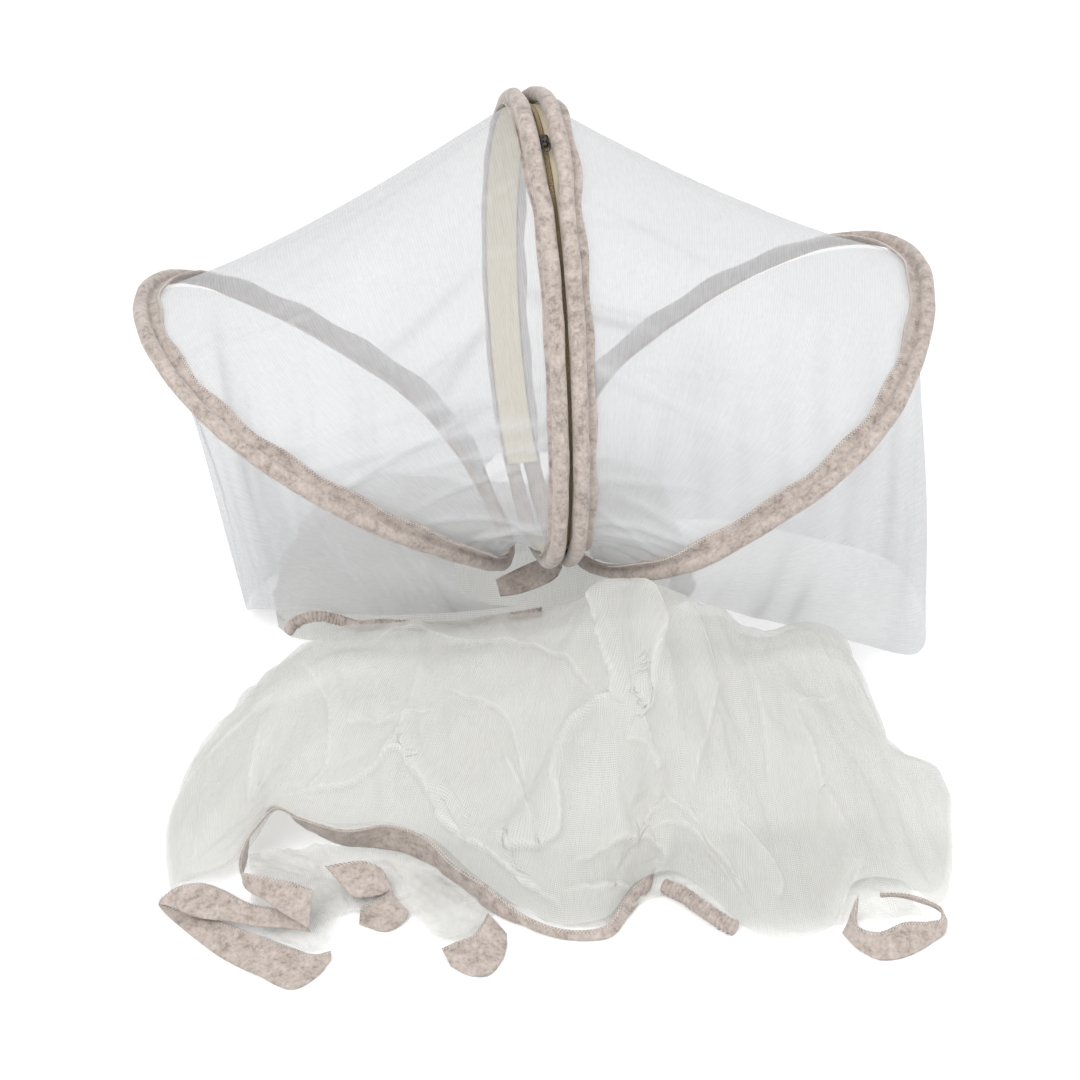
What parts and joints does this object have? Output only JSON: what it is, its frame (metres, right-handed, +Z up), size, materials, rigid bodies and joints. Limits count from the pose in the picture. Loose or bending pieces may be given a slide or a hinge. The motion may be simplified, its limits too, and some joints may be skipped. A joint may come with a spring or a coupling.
{
  "type": "folding canopy mosquito net with sprung hoops for a cot",
  "caption": "Fine white mosquito net canopy on fabric-sleeved hoops that fan from one foot, with a zip over the top, hung side skirts and a long front skirt heaped on the surface",
  "frame": {"origin": "on the surface under the middle of the whole net's box", "axes": "+X right across the fan of hoops, +Y from the heaped front skirt to the back, +Z up"},
  "size_m": [0.811, 0.755, 0.5967],
  "materials": {
    "net": "white knitted polyester net, semi-sheer",
    "binding": "mottled greige chenille binding, napped",
    "tape": "cream woven zip tape with nylon coil",
    "metal": "dark nickel plated zip slider"
  },
  "bodies": {
    "root": {"canopy_net_left": "net", "canopy_net_right": "net", "skirt_net_left": "net", "skirt_net_right": "net", "skirt_net_front": "net", "skirt_net_inner": "net", "skirt_net_fold": "net", "skirt_net_corner": "net", "skirt_net_tab": "net", "left_hoop_sleeve": "binding", "right_hoop_sleeve": "binding", "zip_sleeve_left": "binding", "zip_sleeve_right": "binding", "hem_binding_front": "binding", "hem_binding_corner": "binding", "hem_binding_inner": "binding", "hem_binding_tab": "binding", "hem_binding_right": "binding", "hem_elastic_front": "binding", "hem_elastic_back": "binding", "zip_tape": "tape", "zip_slider": "metal", "zip_pull": "metal"}
  },
  "joints": []
}
